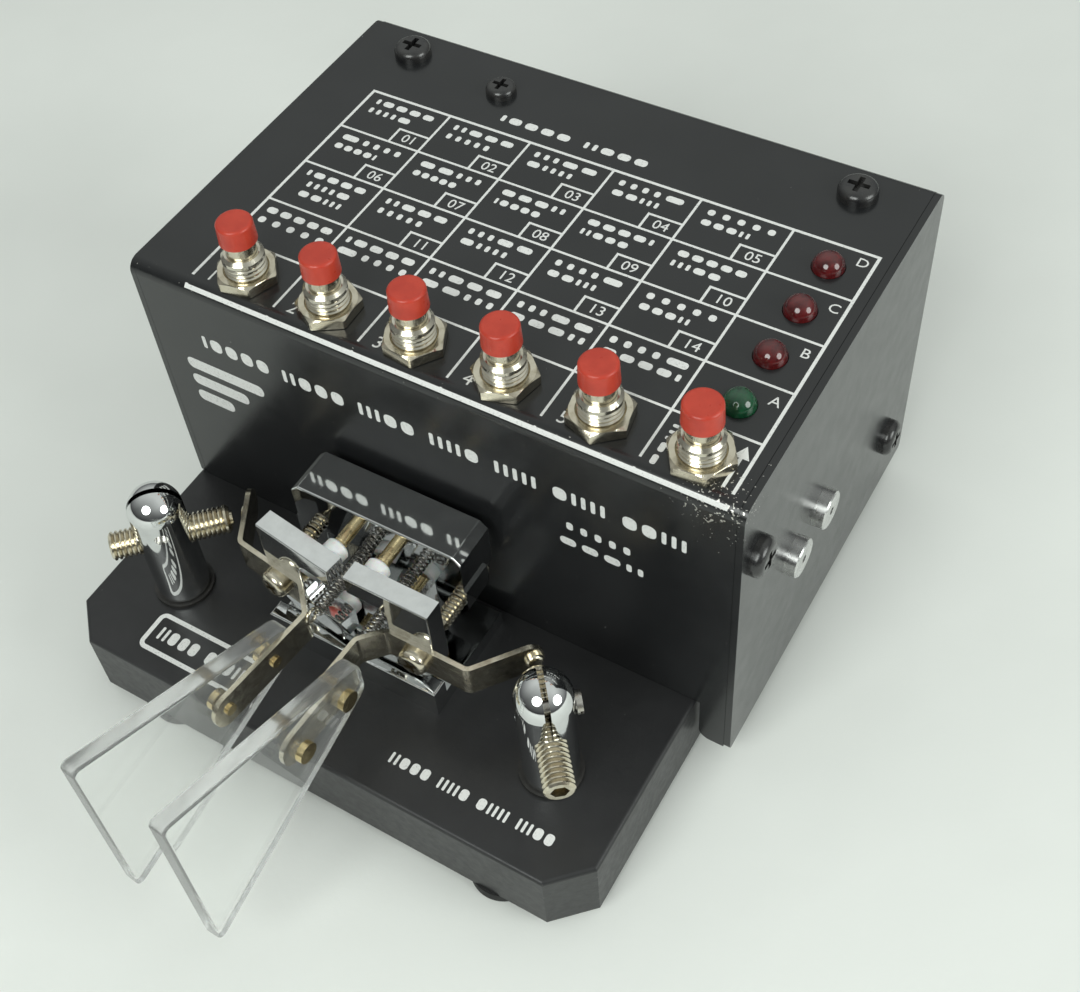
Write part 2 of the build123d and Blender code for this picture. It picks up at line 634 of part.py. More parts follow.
with BuildPart() as needle_rods:
    for side, _ in SIDES:
        for z in (NEEDLE_HIGH, NEEDLE_LOW):
            needle_x = PADDLE_X + side * PIVOT_U
            with BuildSketch(Plane(origin=(needle_x, 0, z), x_dir=(0, 1, 0), z_dir=(1, 0, 0))):
                with BuildLine():
                    Polyline(
                        (PIVOT_Y, 0),
                        (PIVOT_Y + NEEDLE_CONE, NEEDLE_RADIUS),
                        (FRAME_BACK, NEEDLE_RADIUS),
                        (FRAME_BACK, 0),
                        close=True,
                    )
                make_face()
            revolve(axis=Axis((needle_x, 0, z), (0, 1, 0)))
write(needle_rods.part, "needle_rods")

# ---------------------------------------------------------------- contact posts
WASHER = 0.6
POST_LOW = BASE_TOP + WASHER
CLAMP_Z = 34.3
CLAMP_RADIUS = 1.1
CLAMP_HEAD = 0.9
BOLT_RADIUS = 1.9
for side, name in SIDES:
    centre = (BASE_X + side * POST_U[side], POST_Y)
    with BuildPart() as contact_post:
        with BuildSketch(Plane(origin=(*centre, 0), x_dir=(0, 0, 1), z_dir=(0, -1, 0))):
            with BuildLine():
                Polyline(
                    (POST_DOME_Z, POST_RADIUS),
                    (POST_LOW + 0.4, POST_RADIUS),
                    (POST_LOW, POST_RADIUS - 0.4),
                    (POST_LOW, 0),
                    (POST_DOME_Z + POST_RADIUS, 0),
                )
                RadiusArc((POST_DOME_Z + POST_RADIUS, 0), (POST_DOME_Z, POST_RADIUS), -POST_RADIUS)
            make_face()
        revolve(axis=Axis((*centre, 0), (0, 0, 1)))
        with BuildSketch(post_plane(side, CONTACT_Z)):
            Rectangle(4 * POST_RADIUS, 0.9)
        extrude(amount=POST_DOME_Z + POST_RADIUS - CONTACT_Z, mode=Mode.SUBTRACT)
        with BuildSketch(Plane(origin=(*centre, CONTACT_Z), z_dir=screw_aim(side))):
            Circle(CONTACT_RADIUS + 0.05)
        extrude(amount=2 * POST_RADIUS, both=True, mode=Mode.SUBTRACT)
        with BuildSketch(Plane(origin=(*centre, CLAMP_Z), z_dir=screw_aim(side, -90 * side))):
            Circle(CLAMP_RADIUS)
        extrude(amount=2 * POST_RADIUS, both=True, mode=Mode.SUBTRACT)
        with Locations((*centre, POST_LOW)):
            Cylinder(
                BOLT_RADIUS + 0.05,
                7.0,
                align=(Align.CENTER, Align.CENTER, Align.MIN),
                mode=Mode.SUBTRACT,
            )
    write(contact_post.part, f"{name}_contact_post")

    with BuildPart() as contact_screw:
        screw_plane = Plane(origin=(*centre, CONTACT_Z), x_dir=screw_aim(side), z_dir=screw_aim(side, 90))
        tip = CONTACT_REACH[side]
        head = -CONTACT_HEAD[side]
        thread = thread_outline(head + 0.3, tip - 0.9, CONTACT_RADIUS, CONTACT_PITCH, 0.42)
        with BuildSketch(screw_plane):
            with BuildLine():
                Polyline(
                    (head, 0),
                    (head, CONTACT_RADIUS - 0.3),
                    *thread,
                    (tip - 0.4, CONTACT_RADIUS - 0.5),
                    (tip - 0.4, 1.3),
                    (tip, 1.2),
                    (tip, 0),
                    close=True,
                )
            make_face()
        revolve(axis=Axis((*centre, CONTACT_Z), screw_aim(side)))
        with BuildSketch(Plane(origin=(*centre, CONTACT_Z), z_dir=screw_aim(side)).offset(head)):
            RegularPolygon(1.25, 6, major_radius=False)
        extrude(amount=2.6, mode=Mode.SUBTRACT)
    write(contact_screw.part, f"{name}_contact_screw")

with BuildPart() as clamp_screws:
    for side, _ in SIDES:
        origin = (BASE_X + side * POST_U[side], POST_Y, CLAMP_Z)
        clamp_plane = Plane(origin=origin, z_dir=screw_aim(side, -90 * side))
        with BuildSketch(clamp_plane.offset(-3.4)):
            Circle(CLAMP_RADIUS)
        extrude(amount=3.4 + POST_RADIUS)
        with BuildSketch(clamp_plane.offset(POST_RADIUS)):
            Circle(1.8)
        extrude(amount=CLAMP_HEAD)
        with BuildSketch(clamp_plane.offset(POST_RADIUS + CLAMP_HEAD)):
            Rectangle(4.0, 0.6)
        extrude(amount=-0.5, mode=Mode.SUBTRACT)
write(clamp_screws.part, "clamp_screws")

with BuildPart() as post_insulators:
    for side, _ in SIDES:
        for low, sleeve_low, flange in (
            (BASE_TOP, BASE_TOP - 4.0, POST_RADIUS + 0.6),
            (COUNTERBORE_TOP - WASHER, COUNTERBORE_TOP, POST_RADIUS + 0.6),
        ):
            with BuildSketch(Plane.XY.offset(low)):
                with Locations((BASE_X + side * POST_U[side], POST_Y)):
                    Circle(flange)
                    Circle(BOLT_RADIUS + 0.1, mode=Mode.SUBTRACT)
            extrude(amount=WASHER)
            with BuildSketch(Plane.XY.offset(sleeve_low)):
                with Locations((BASE_X + side * POST_U[side], POST_Y)):
                    Circle(3.0)
                    Circle(BOLT_RADIUS + 0.1, mode=Mode.SUBTRACT)
            extrude(amount=4.0)
write(post_insulators.part, "post_insulators")

with BuildPart() as post_bolts:
    with BuildSketch(Plane.XY.offset(COUNTERBORE_TOP - WASHER)):
        with Locations(*[(BASE_X + side * POST_U[side], POST_Y) for side, _ in SIDES]):
            Circle(BOLT_RADIUS)
    extrude(amount=POST_LOW + 6.0 - COUNTERBORE_TOP + WASHER)
    with BuildSketch(Plane.XY.offset(COUNTERBORE_TOP - WASHER)):
        with Locations(*[(BASE_X + side * POST_U[side], POST_Y) for side, _ in SIDES]):
            Circle(3.5)
    extrude(amount=-2.6)
write(post_bolts.part, "post_bolts")

# ---------------------------------------------------------------- levers
STRIP_LOW = CONTACT_Z - STRIP_HEIGHT / 2
STRIP_V = PLATE_FRONT - STRIP / 2
RIVET_INSET = 1.7
FINGER_OUTLINE = [(-11.1, 26.7), (-50.1, 11.0), (-50.1, 47.0), (-11.1, 33.7)]
CUP_PLUG = 1.5
CUP_FLANGE = 2.0
CUP_DEPTH = 2.4
CUP_STAND = 2.2
ARM_SCREW_DEPTH = 2.7
SPRING_AT = {-1: (0.1, 31.7), 1: (0.7, 30.4)}  # out from the hinge line, and height
SPRING_END = -5.5  # the coil's front end, in front of the hinge line
SPRING_TURNS = 16.25
SPRING_RADIUS = 1.0
WIRE_RADIUS = 0.2
EYE_U = {-1: -0.35, 1: 0.7}
EYE_RADIUS = 1.2
EYE_WIRE = 0.28


def rest_point(side, angle, u, v):
    """Place on the table plane of a point given along axes turned by angle about one hinge line."""
    a = radians(angle)
    x = PADDLE_X + side * (PIVOT_U + u * cos(a)) - v * sin(a)
    return Vector(x, PIVOT_Y + side * u * sin(a) + v * cos(a), 0)


for side, name in SIDES:
    a = radians(REST[side])
    outward = Vector(side * cos(a), side * sin(a), 0)
    backward = Vector(-sin(a), cos(a), 0)
    pivot = Vector(PADDLE_X + side * PIVOT_U, PIVOT_Y, 0)

    with BuildPart() as lever_plate:
        with BuildSketch(face_plane(side, PLATE_FRONT)) as plate:
            with BuildLine():
                Polyline(
                    (side * PLATE_INNER, PLATE_LOW),
                    (side * PLATE_OUTER, PLATE_LOW),
                    (side * PLATE_OUTER, PLATE_TOP),
                    (side * PLATE_INNER, PLATE_TOP),
                    close=True,
                )
            make_face()
            lower, upper = plate.vertices().filter_by_position(
                Axis.X, side * PLATE_OUTER - 0.1, side * PLATE_OUTER + 0.1
            ).sort_by(Axis.Y)
            fillet(lower, 5.5)
            chamfer(upper, 1.9)
            notch_middle = (PLATE_INNER - 2 + NOTCH_END) / 2
            with Locations((side * notch_middle, (NOTCH_LOW + NOTCH_TOP) / 2)):
                RectangleRounded(NOTCH_END - PLATE_INNER + 2, NOTCH_TOP - NOTCH_LOW, 1.9, mode=Mode.SUBTRACT)
        extrude(amount=PLATE_FRONT - PLATE_BACK)
        front_face = lever_plate.faces().sort_by(Axis(pivot, backward))[0]
        fillet(front_face.edges(), 0.25)
        with BuildSketch(face_plane(side, PLATE_BACK)):
            with Locations((0, NEEDLE_HIGH), (0, NEEDLE_LOW)):
                Circle(CUP_PLUG)
        extrude(amount=CUP_DEPTH, mode=Mode.SUBTRACT)
        with BuildSketch(face_plane(side, PLATE_FRONT)):
            with Locations((side * ARM_SCREW_U, ARM_SCREW_Z)):
                Circle(1.25)
        extrude(amount=-ARM_SCREW_DEPTH, mode=Mode.SUBTRACT)
    write(lever_plate.part, f"{name}_lever_plate")

    with BuildPart() as bearing_cups:
        for z in (NEEDLE_HIGH, NEEDLE_LOW):
            with BuildSketch(Plane(origin=pivot + Vector(0, 0, z), x_dir=backward, z_dir=(cos(a), sin(a), 0))):
                with BuildLine():
                    Polyline(
                        (PLATE_BACK - CUP_DEPTH, 0),
                        (PLATE_BACK - CUP_DEPTH, CUP_PLUG),
                        (PLATE_BACK, CUP_PLUG),
                        (PLATE_BACK, CUP_FLANGE),
                        (PLATE_BACK + CUP_STAND - 0.3, CUP_FLANGE),
                        (PLATE_BACK + CUP_STAND, CUP_FLANGE - 0.3),
                        (PLATE_BACK + CUP_STAND, 1.5),
                        (-0.15, 0),
                        close=True,
                    )
                make_face()
            revolve(axis=Axis(pivot + Vector(0, 0, z), backward))
    write(bearing_cups.part, f"{name}_bearing_cups")

    # the bent strip, seen from above: handle, dog-leg to the plate, arm, contact end
    handle = HANDLE_REST[side], HANDLE_U[side]
    bend = rest_point(side, REST[side], ARM_BEND[side], STRIP_V)
    tip = rest_point(side, REST[side], ARM_BEND[side] + ARM_RUN[0], STRIP_V + ARM_RUN[1])
    strip_path = [
        rest_point(side, *handle, HANDLE_END),
        rest_point(side, *handle, HANDLE_ROOT),
        rest_point(side, REST[side], 4.2, STRIP_V),
        bend,
        tip,
    ]
    with BuildPart() as contact_arm:
        with BuildSketch(Plane.XY.offset(STRIP_LOW)):
            with BuildLine() as path:
                FilletPolyline(*strip_path, radius=1.3)
            trace(path.edges(), line_width=STRIP)
        extrude(amount=STRIP_HEIGHT)
        ends = contact_arm.edges().filter_by(GeomType.LINE).filter_by(lambda e: abs(e.length - STRIP) < 0.001)
        fillet(ends, 0.45 * STRIP_HEIGHT)
        with BuildSketch(side_plane(side, HANDLE_U[side] - 1)):
            with Locations(*[(v, CONTACT_Z) for v in FINGER_SCREW_VS]):
                Circle(0.95)
        extrude(amount=side * 2, mode=Mode.SUBTRACT)
        with BuildSketch(face_plane(side, STRIP_V - 1)):
            with Locations((side * ARM_SCREW_U, ARM_SCREW_Z)):
                Circle(1.25)
        extrude(amount=-2, mode=Mode.SUBTRACT)
        # contact rivet where the arm crosses the contact screw's axis, facing the post
        post = Vector(BASE_X + side * POST_U[side], POST_Y)
        across = [p.dot(screw_aim(side, 90)) for p in (post, bend, tip)]
        crossing = (across[0] - across[1]) / (across[2] - across[1])
        farthest = 1 - RIVET_INSET / (tip - bend).length
        rivet_at = bend + (tip - bend) * min(crossing, farthest)
        rivet_dir = (tip - bend).normalized().rotate(Axis.Z, -90 * side)
        with BuildSketch(Plane(origin=rivet_at + Vector(0, 0, CONTACT_Z), z_dir=rivet_dir)):
            Circle(1.45)
        rivet = extrude(amount=STRIP / 2 + 0.9)
        fillet(rivet.edges().sort_by(Axis(rivet_at, rivet_dir))[-1], 0.6)
        # eye for the spring's hook, soldered to the handle's root
        spring_u, spring_z = SPRING_AT[side]
        eye_at = rest_point(side, HANDLE_REST[side], EYE_U[side], SPRING_END - EYE_RADIUS - 0.3)
        with Locations(Plane(origin=eye_at + Vector(0, 0, spring_z), z_dir=(1, 0, 0))):
            Torus(EYE_RADIUS, EYE_WIRE)
    write(contact_arm.part, f"{name}_contact_arm")

    with BuildPart() as arm_screw:
        with BuildSketch(face_plane(side, PLATE_FRONT - STRIP)):
            with Locations((side * ARM_SCREW_U, ARM_SCREW_Z)):
                Circle(2.5)
        head = extrude(amount=1.8)
        fillet(head.edges().sort_by(Axis(pivot, backward * -1))[-1], 1.0)
        with BuildSketch(face_plane(side, PLATE_FRONT - STRIP - 1.8)):
            with Locations((side * ARM_SCREW_U, ARM_SCREW_Z)):
                Rectangle(2.6, 0.6, rotation=30)
                Rectangle(2.6, 0.6, rotation=120)
        extrude(amount=-1.0, mode=Mode.SUBTRACT)
        with BuildSketch(face_plane(side, PLATE_FRONT - STRIP)):
            with Locations((side * ARM_SCREW_U, ARM_SCREW_Z)):
                Circle(1.25)
        extrude(amount=-STRIP - ARM_SCREW_DEPTH + 0.2)
    write(arm_screw.part, f"{name}_arm_screw")

    finger_inner = HANDLE_U[side] + STRIP / 2
    with BuildPart() as finger_piece:
        with BuildSketch(side_plane(side, finger_inner)) as blade:
            with BuildLine():
                Polyline(*FINGER_OUTLINE, close=True)
            make_face()
            fillet(blade.vertices().group_by(Axis.X)[-1], 2.6)
            fillet(blade.vertices().group_by(Axis.X)[0], 1.0)
            with Locations(*[(v, CONTACT_Z) for v in FINGER_SCREW_VS]):
                Circle(0.95, mode=Mode.SUBTRACT)
        extrude(amount=side * FINGER_THICK)
        broad_faces = finger_piece.faces().sort_by(SortBy.AREA)[-2:]
        fillet([face.outer_wire().edges() for face in broad_faces], 0.45)
    write(finger_piece.part, f"{name}_finger_piece")

    with BuildPart() as finger_screws:
        with BuildSketch(side_plane(side, finger_inner + FINGER_THICK)):
            with Locations(*[(v, CONTACT_Z) for v in FINGER_SCREW_VS]):
                Circle(1.75)
        extrude(amount=side * 1.1)
        with BuildSketch(side_plane(side, finger_inner + FINGER_THICK)):
            with Locations(*[(v, CONTACT_Z) for v in FINGER_SCREW_VS]):
                Circle(0.95)
        extrude(amount=-side * (FINGER_THICK + STRIP + 0.4))
    write(finger_screws.part, f"{name}_finger_screws")

    # tension spring from the frame's web, through the plate's notch, to the eye on the handle
    spring_start = Vector(pivot.X + side * spring_u, WEB_FRONT - 0.3, spring_z)
    coil_length = spring_start.Y - PIVOT_Y - SPRING_END
    with BuildPart() as lever_spring:
        with BuildLine() as coil:
            Helix(
                pitch=coil_length / SPRING_TURNS,
                height=coil_length,
                radius=SPRING_RADIUS,
                center=spring_start,
                direction=(0, -1, 0),
            )
        with BuildSketch(Plane(origin=coil.line @ 0, z_dir=coil.line % 0)):
            Circle(WIRE_RADIUS)
        sweep(path=coil.line, is_frenet=True)
        coil_end = coil.line @ 1
        coil_axis = Vector(spring_start.X, coil_end.Y, spring_z)
        with BuildLine() as hook:
            ThreePointArc(coil_end, coil_axis - Vector(0, SPRING_RADIUS, 0), coil_axis * 2 - coil_end)
        with BuildSketch(Plane(origin=hook.line @ 0, z_dir=hook.line % 0)):
            Circle(WIRE_RADIUS)
        sweep(path=hook.line)
    write(lever_spring.part, f"{name}_lever_spring")

    # stop screw behind the plate's outer end, its point just short of the plate
    with BuildPart() as stop_screw:
        reach_out = STOP_U - PIVOT_U
        stop_tip = PIVOT_Y + side * reach_out * sin(a) / cos(a) + PLATE_BACK / cos(a) + 0.1
        stop_x = PADDLE_X + side * STOP_U
        thread = thread_outline(stop_tip + 2.0, FRAME_BACK - 0.6, STOP_RADIUS, 0.8, 0.36)
        with BuildSketch(Plane(origin=(stop_x, 0, STOP_Z), x_dir=(0, 1, 0), z_dir=(1, 0, 0))):
            with BuildLine():
                Polyline(
                    (stop_tip, 0),
                    (stop_tip, 0.35),
                    *thread,
                    (FRAME_BACK - 0.6, 0),
                    close=True,
                )
            make_face()
        revolve(axis=Axis((stop_x, 0, STOP_Z), (0, 1, 0)))
    write(stop_screw.part, f"{name}_stop_screw")
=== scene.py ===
import json
import math

import bmesh
import bpy
from mathutils import Matrix, Vector


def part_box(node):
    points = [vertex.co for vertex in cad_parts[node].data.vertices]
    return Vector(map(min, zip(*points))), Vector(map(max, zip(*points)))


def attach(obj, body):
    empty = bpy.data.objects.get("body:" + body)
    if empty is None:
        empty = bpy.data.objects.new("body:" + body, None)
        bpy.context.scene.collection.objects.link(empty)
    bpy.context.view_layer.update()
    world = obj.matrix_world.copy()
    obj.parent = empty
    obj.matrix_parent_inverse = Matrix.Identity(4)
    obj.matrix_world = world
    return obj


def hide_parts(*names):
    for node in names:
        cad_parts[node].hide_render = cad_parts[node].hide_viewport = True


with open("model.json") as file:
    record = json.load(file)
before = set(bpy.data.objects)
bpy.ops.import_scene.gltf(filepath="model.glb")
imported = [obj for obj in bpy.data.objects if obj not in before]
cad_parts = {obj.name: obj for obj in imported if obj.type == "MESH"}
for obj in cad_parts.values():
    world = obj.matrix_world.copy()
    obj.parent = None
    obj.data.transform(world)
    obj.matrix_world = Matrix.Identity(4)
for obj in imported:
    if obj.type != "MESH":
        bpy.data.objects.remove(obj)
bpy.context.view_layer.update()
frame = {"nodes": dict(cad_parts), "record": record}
MM = 0.001
scene = bpy.context.scene
nodes = frame["nodes"]

# ---------------------------------------------------------------- places read from the frame
cover_low, cover_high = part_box("case_cover")
FRONT_Y = cover_low.y
TOP_Z = cover_high.z
BASE_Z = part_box("base_plate")[1].z
WALL_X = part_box("case_chassis")[1].x
BEND = 2.2 * MM


# ---------------------------------------------------------------- shader kit
class Surface:
    """One Principled material, with its textures laid out in the object's own metres."""

    def __init__(self, name, colour, rough, metallic=0.0, **sockets):
        self.material = bpy.data.materials.new(name)
        self.material.use_nodes = True
        self.tree = self.material.node_tree
        self.bsdf = self.tree.nodes["Principled BSDF"]
        self.place = self.add("ShaderNodeTexCoord").outputs["Object"]
        self.height = None
        self.colour = None
        self.put("Base Color", (*colour, 1.0))
        self.put("Roughness", rough)
        self.put("Metallic", metallic)
        for socket, value in sockets.items():
            self.put(socket.replace("_", " "), value)

    def add(self, kind, inputs=None, **settings):
        node = self.tree.nodes.new(kind)
        for key, value in settings.items():
            setattr(node, key, value)
        for key, value in (inputs or {}).items():
            if isinstance(value, bpy.types.NodeSocket):
                self.tree.links.new(value, node.inputs[key])
            else:
                node.inputs[key].default_value = value
        return node

    def put(self, socket, value):
        if isinstance(value, bpy.types.NodeSocket):
            self.tree.links.new(value, self.bsdf.inputs[socket])
        else:
            self.bsdf.inputs[socket].default_value = value

    def noise(self, size_mm, detail=2.0, rough=0.5, stretch=None):
        place = self.place
        if stretch:
            place = self.add("ShaderNodeMapping", {"Vector": place, "Scale": stretch}).outputs[0]
        inputs = {"Vector": place, "Scale": 1000.0 / size_mm, "Detail": detail, "Roughness": rough}
        return self.add("ShaderNodeTexNoise", inputs).outputs["Fac"]

    def span(self, value, low, high, out_low=0.0, out_high=1.0, smooth=False):
        kind = "SMOOTHSTEP" if smooth else "LINEAR"
        inputs = {"Value": value, "From Min": low, "From Max": high, "To Min": out_low, "To Max": out_high}
        return self.add("ShaderNodeMapRange", inputs, interpolation_type=kind).outputs[0]

    def maths(self, operation, a, b=0.0):
        return self.add("ShaderNodeMath", {0: a, 1: b}, operation=operation).outputs[0]

    def blend(self, factor, a, b):
        """Mixes two colours, or two colour sockets."""
        node = self.add("ShaderNodeMix", {"Factor": factor}, data_type="RGBA")
        for index, value in ((6, a), (7, b)):
            if isinstance(value, bpy.types.NodeSocket):
                self.tree.links.new(value, node.inputs[index])
            else:
                node.inputs[index].default_value = (*value, 1.0)
        return node.outputs[2]

    def mottle(self, a, b, size_mm, detail=3.0):
        self.put("Base Color", self.blend(self.span(self.noise(size_mm, detail), 0.35, 0.65), a, b))

    def rough(self, low, high, size_mm, detail=4.0, stretch=None):
        self.put("Roughness", self.span(self.noise(size_mm, detail, stretch=stretch), 0.3, 0.7, low, high))

    def bump(self, *layers):
        """Each layer is (height socket, depth in mm)."""
        normal = None
        for height, depth in layers:
            inputs = {"Height": height, "Distance": depth * MM, "Strength": 1.0}
            if normal is not None:
                inputs["Normal"] = normal
            normal = self.add("ShaderNodeBump", inputs).outputs[0]
        self.put("Normal", normal)

    def near(self, point, reach_mm):
        """1 at the point, falling to 0 at reach."""
        inputs = {0: self.place, 1: point}
        away = self.add("ShaderNodeVectorMath", inputs, operation="DISTANCE").outputs["Value"]
        return self.span(away, 0.0, reach_mm * MM, 1.0, 0.0, smooth=True)

    def near_front_edge(self):
        """1 along the bend at the box's front top edge, falling to 0 a few millimetres away."""
        inputs = {0: self.place, 1: (0.0, 1.0, 1.0)}
        flat = self.add("ShaderNodeVectorMath", inputs, operation="MULTIPLY").outputs[0]
        inputs = {0: flat, 1: (0.0, FRONT_Y, TOP_Z)}
        away = self.add("ShaderNodeVectorMath", inputs, operation="DISTANCE").outputs["Value"]
        return self.span(away, 0.0, 3.0 * MM, 1.0, 0.0, smooth=True)

    def rim(self, radius_mm):
        """1 on convex edges, 0 on flats."""
        soft = self.add("ShaderNodeBevel", {"Radius": radius_mm * MM}, samples=4).outputs[0]
        true = self.add("ShaderNodeNewGeometry").outputs["True Normal"]
        inputs = {0: soft, 1: true}
        same = self.add("ShaderNodeVectorMath", inputs, operation="DOT_PRODUCT").outputs["Value"]
        return self.span(same, 0.99, 0.90, 0.0, 1.0)


def box_paint():
    """Charcoal-black baked enamel with fine orange peel, wearing through to metal round the front top
    corner and in flecks along the front top edge; that pale metal is partly wear and partly a painted
    highlight on the rounded corner and the bend.
    """
    s = Surface("box_paint", (0.012, 0.0125, 0.0135), 0.25)
    s.put("Specular IOR Level", 0.55)
    paint = s.blend(s.span(s.noise(14.0, 2.0), 0.3, 0.7), (0.0115, 0.012, 0.0128), (0.0150, 0.0156, 0.0165))
    # pale metal round the front top corner: partly wear, partly a painted highlight on the rounded corner
    corner = s.near((WALL_X - 4 * MM, FRONT_Y, TOP_Z), 13.0)
    spots = s.noise(0.42, 1.0, 0.5)
    corner_wear_and_highlight = s.span(s.maths("ADD", spots, s.maths("MULTIPLY", corner, 0.235)), 0.83, 0.86)
    edge = s.near_front_edge()
    # pale metal flecks along the front top bend: partly wear, partly a painted highlight along the bend
    flecks = s.span(s.maths("ADD", s.noise(0.42, 1.0, 0.5), s.maths("MULTIPLY", edge, 0.12)), 0.81, 0.84)
    wear_and_highlight = s.maths("MAXIMUM", corner_wear_and_highlight, s.maths("MULTIPLY", flecks, edge))
    # pale metal colour where the paint is gone, and as a painted highlight at the front top corner and
    # along the bend
    s.put("Base Color", s.blend(wear_and_highlight, paint, (0.62, 0.60, 0.56)))
    s.put("Metallic", s.maths("MULTIPLY", wear_and_highlight, 0.9))
    satin = s.span(s.noise(3.0, 3.0), 0.3, 0.7, 0.20, 0.26)
    s.put("Roughness", s.maths("ADD", satin, s.maths("MULTIPLY", wear_and_highlight, 0.12)))
    s.bump((s.noise(1.3, 1.0), 0.004), (s.noise(0.4, 2.0, 0.5), 0.004))
    return s.material


def base_paint():
    """Black satin enamel with a fine grain and a few pale specks, rubbed a little at the edges."""
    s = Surface("base_paint", (0.012, 0.012, 0.013), 0.38)
    rim = s.rim(0.6)
    rub = s.span(s.maths("ADD", s.noise(1.1, 4.0, 0.65), s.maths("MULTIPLY", rim, 0.16)), 0.72, 0.78)
    rub = s.maths("MULTIPLY", rub, rim)
    paint = s.blend(s.span(s.noise(9.0, 3.0), 0.3, 0.7), (0.013, 0.013, 0.014), (0.019, 0.019, 0.020))
    dust = s.span(s.noise(0.55, 1.0), 0.80, 0.84)
    paint = s.blend(s.maths("MULTIPLY", dust, 0.6), paint, (0.10, 0.10, 0.095))
    s.put("Base Color", s.blend(s.maths("MULTIPLY", rub, 0.7), paint, (0.20, 0.195, 0.19)))
    s.put("Roughness", s.span(s.noise(1.2, 3.0), 0.3, 0.7, 0.35, 0.44))
    s.bump((s.noise(0.8, 2.0, 0.5), 0.020), (s.noise(0.25, 2.0, 0.5), 0.006))
    return s.material


def plated(name, dark, light, rough_low, rough_high, tarnish=0.0, tarnish_colour=(0.3, 0.24, 0.14)):
    """Bright plate over turned or stamped metal, with light handling marks."""
    s = Surface(name, light, rough_low, 1.0)
    tone = s.blend(s.span(s.noise(3.0, 4.0), 0.3, 0.7), dark, light)
    if tarnish:
        stain = s.span(s.noise(1.7, 5.0, 0.65), 0.52, 0.72, 0.0, tarnish)
        tone = s.blend(stain, tone, tarnish_colour)
    s.put("Base Color", tone)
    s.rough(rough_low, rough_high, 1.2, 5.0)
    s.bump((s.noise(2.5, 1.0), 0.0012), (s.noise(0.2, 2.0, 0.5, stretch=(1.0, 1.0, 0.25)), 0.0004))
    return s.material


def plastic(name, dark, light, rough_low, rough_high, grain_mm=0.3, depth=0.004, **sockets):
    s = Surface(name, light, rough_low, **sockets)
    s.mottle(dark, light, 2.5)
    s.rough(rough_low, rough_high, 0.8)
    s.bump((s.noise(grain_mm, 3.0), depth))
    return s.material


def acrylic():
    """Clear cast acrylic, faintly handled, with sawn edges that look milky."""
    s = Surface("clear_plastic", (0.985, 0.992, 0.985), 0.03, IOR=1.46, Transmission_Weight=0.92)
    normal = s.add("ShaderNodeTexCoord").outputs["Normal"]
    across = s.add("ShaderNodeSeparateXYZ", {0: normal}).outputs[0]
    face = s.span(s.maths("ABSOLUTE", across), 0.6, 0.9)
    s.put("Base Color", s.blend(face, (1.0, 1.0, 1.0), (0.975, 0.985, 0.975)))
    polish = s.span(s.noise(4.0, 6.0), 0.3, 0.7, 0.01, 0.05)
    s.put("Roughness", s.maths("ADD", polish, s.maths("MULTIPLY", s.maths("SUBTRACT", 1.0, face), 0.22)))
    s.bump((s.noise(7.0, 1.0), 0.004),)
    return s.material


def lens(name, deep, pale):
    """Tinted epoxy of a small lamp."""
    s = Surface(name, deep, 0.1, IOR=1.5, Coat_Weight=0.6, Coat_Roughness=0.05)
    s.mottle(deep, pale, 1.6)
    s.put("Subsurface Weight", 0.35)
    s.put("Subsurface Radius", (1.0, 0.25, 0.2))
    s.put("Subsurface Scale", 1.5 * MM)
    s.rough(0.06, 0.14, 0.7)
    s.bump((s.noise(0.8, 2.0), 0.002))
    return s.material


def print_ink():
    """White screen-printed ink, a little thin in places."""
    s = Surface("white_print", (0.74, 0.74, 0.72), 0.5)
    cover = s.span(s.noise(0.35, 4.0, 0.7), 0.28, 0.45)
    s.put("Base Color", s.blend(cover, (0.42, 0.42, 0.41), (0.76, 0.76, 0.745)))
    s.bump((s.noise(0.3, 3.0), 0.004))
    return s.material


